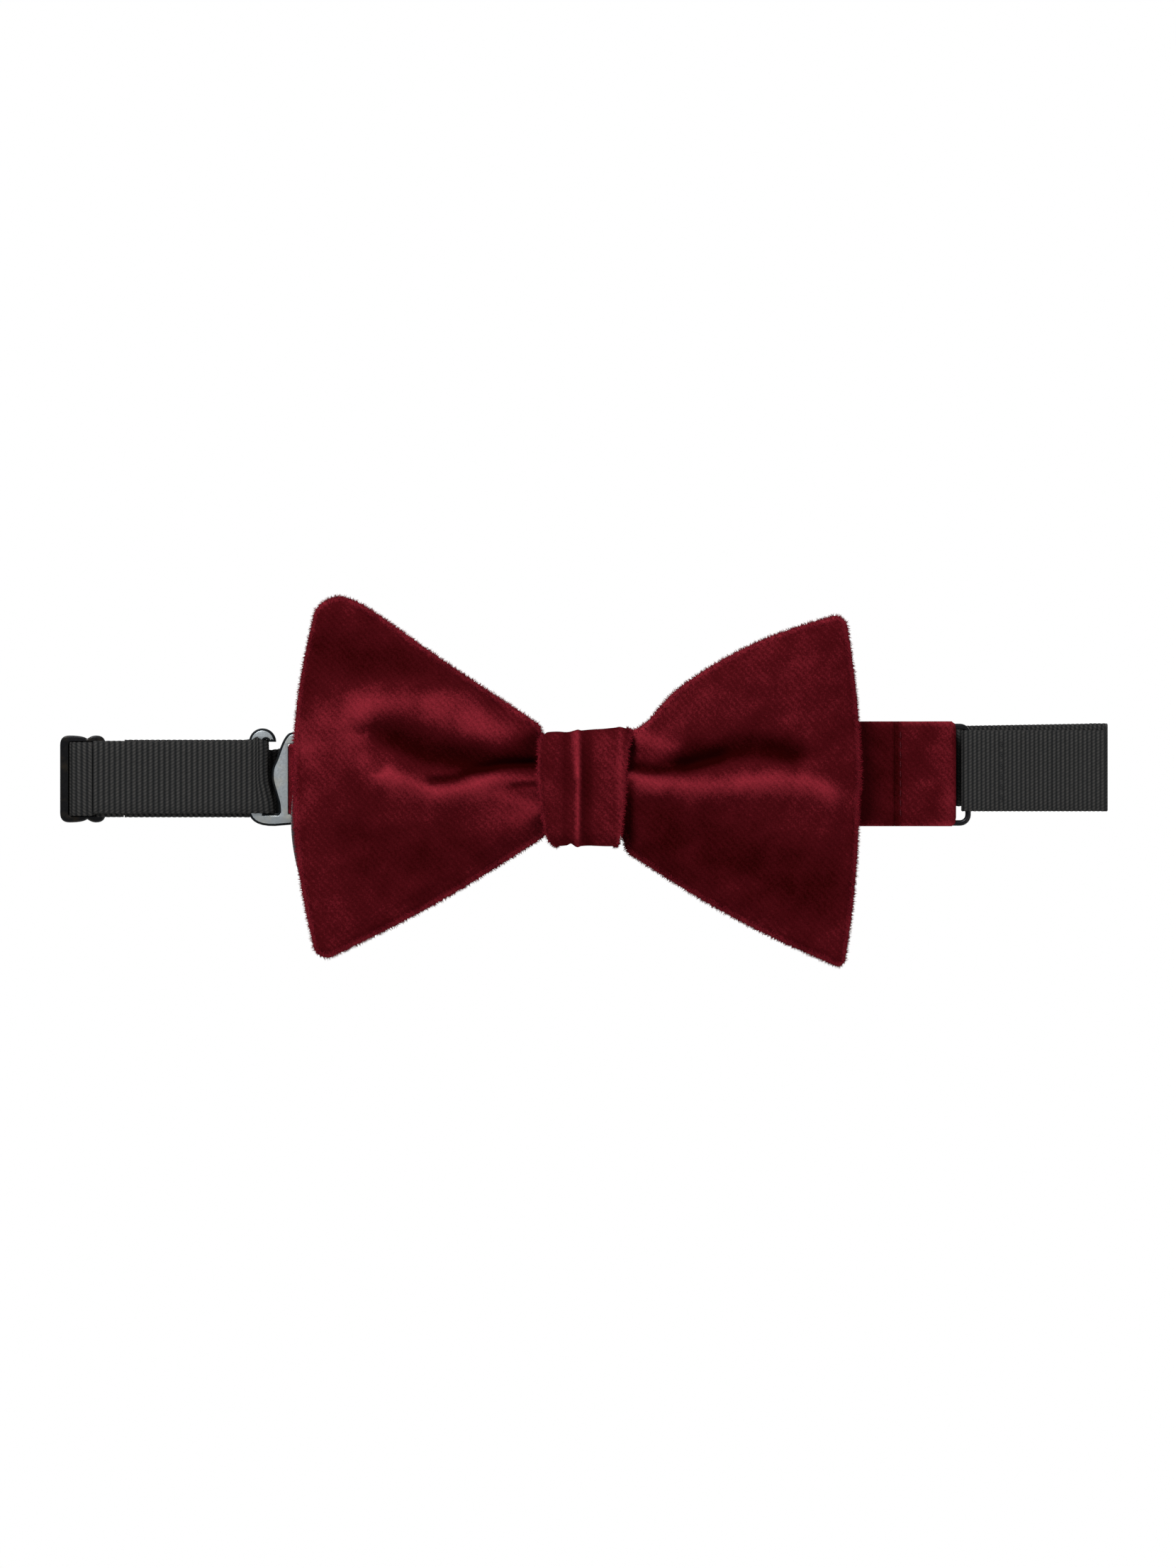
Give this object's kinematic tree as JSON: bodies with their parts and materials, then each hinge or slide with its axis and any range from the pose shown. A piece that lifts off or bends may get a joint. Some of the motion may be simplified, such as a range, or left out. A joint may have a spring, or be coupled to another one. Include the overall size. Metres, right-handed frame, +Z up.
{
  "type": "bow tie",
  "caption": "Pre-tied velvet bow tie with a pinched bow and knot on a velvet neckband, closed by a hook, ring and slider on an adjustable grosgrain neck strap.",
  "frame": {"origin": "on the back face of the neckband behind the knot, where the collar holds the tie", "axes": "+X along the strap to the ring's side, +Y to the back (towards the neck), +Z up; the bow's front faces -Y"},
  "size_m": [0.2203, 0.0223, 0.0775],
  "materials": {
    "velvet": "cotton velvet with a short dense pile, burgundy",
    "rear_velvet": "velvet seen from its ribbed edge, dark burgundy",
    "interlining": "woven stiffening cloth",
    "red_thread": "twisted sewing thread, burgundy",
    "black_thread": "twisted sewing thread, black",
    "grosgrain": "ribbed grosgrain ribbon, black",
    "hook_metal": "satin gunmetal with darker rolled edges",
    "ring_metal": "black enamelled wire",
    "slider_metal": "black enamelled casting"
  },
  "bodies": {
    "bow": {"wing_left_face": "velvet", "wing_left_interlining": "interlining", "wing_left_back": "velvet", "rear_layer_left": "rear_velvet", "wing_right_face": "velvet", "wing_right_interlining": "interlining", "wing_right_back": "velvet", "rear_layer_right": "rear_velvet", "knot_wrap": "velvet", "knot_interlining": "interlining", "binding_thread": "red_thread", "knot_back_stitches": "red_thread", "band_face": "velvet", "band_interlining": "interlining", "band_back": "velvet", "band_left_hem": "velvet", "band_right_hem": "velvet", "left_hem_stitches": "red_thread", "right_hem_stitches": "red_thread"},
    "hook_strap": {"hook_plate": "hook_metal", "ribbon_left_front": "grosgrain", "ribbon_left_middle": "grosgrain"},
    "slider": {"slider": "slider_metal", "ribbon_sewn_end": "grosgrain", "sewn_end_stitches": "black_thread", "ribbon_slider_turn": "grosgrain"},
    "rear_left": {"ribbon_rear_left": "grosgrain"},
    "ring": {"ring": "ring_metal"},
    "right_strap": {"ribbon_right_front": "grosgrain", "ring_loop_stitches": "black_thread"},
    "rear_right": {"ribbon_rear_right": "grosgrain"}
  },
  "joints": [
    {"name": "hook_swing", "type": "hinge", "parent": "bow", "child": "hook_strap", "pos_m": [-0.05955, -0.00225, 0], "axis": [0, 0, -1], "range_deg": [0, 50]},
    {"name": "slider_slide", "type": "slide", "parent": "hook_strap", "child": "slider", "axis": [-1, 0, 0], "range_m": [-0.014, 0], "deforming": ["ribbon_left_front", "ribbon_left_middle", "ribbon_rear_left", "ribbon_slider_turn", "ribbon_sewn_end"]},
    {"name": "left_fold", "type": "hinge", "parent": "slider", "child": "rear_left", "pos_m": [-0.1051, -0.00205, 0], "axis": [0, 0, 1], "range_deg": [0, 73.2]},
    {"name": "ring_swing", "type": "hinge", "parent": "bow", "child": "ring", "pos_m": [0.07715, -0.00225, 0], "axis": [0, 0, 1], "range_deg": [0, 20.1]},
    {"name": "right_loop_swing", "type": "hinge", "parent": "ring", "child": "right_strap", "pos_m": [0.0819, -0.00225, 0], "axis": [0, 0, 1], "range_deg": [0, 30.1]},
    {"name": "right_fold", "type": "hinge", "parent": "right_strap", "child": "rear_right", "pos_m": [0.1109, -0.003, 0], "axis": [0, 0, -1], "range_deg": [0, 78.2]}
  ],
  "couplings": [
    {"joint": "left_fold", "follows": "hook_swing", "ratio": 1.4619},
    {"joint": "ring_swing", "follows": "hook_swing", "ratio": 0.4},
    {"joint": "right_loop_swing", "follows": "hook_swing", "ratio": 0.6},
    {"joint": "right_fold", "follows": "hook_swing", "ratio": 1.5622}
  ]
}
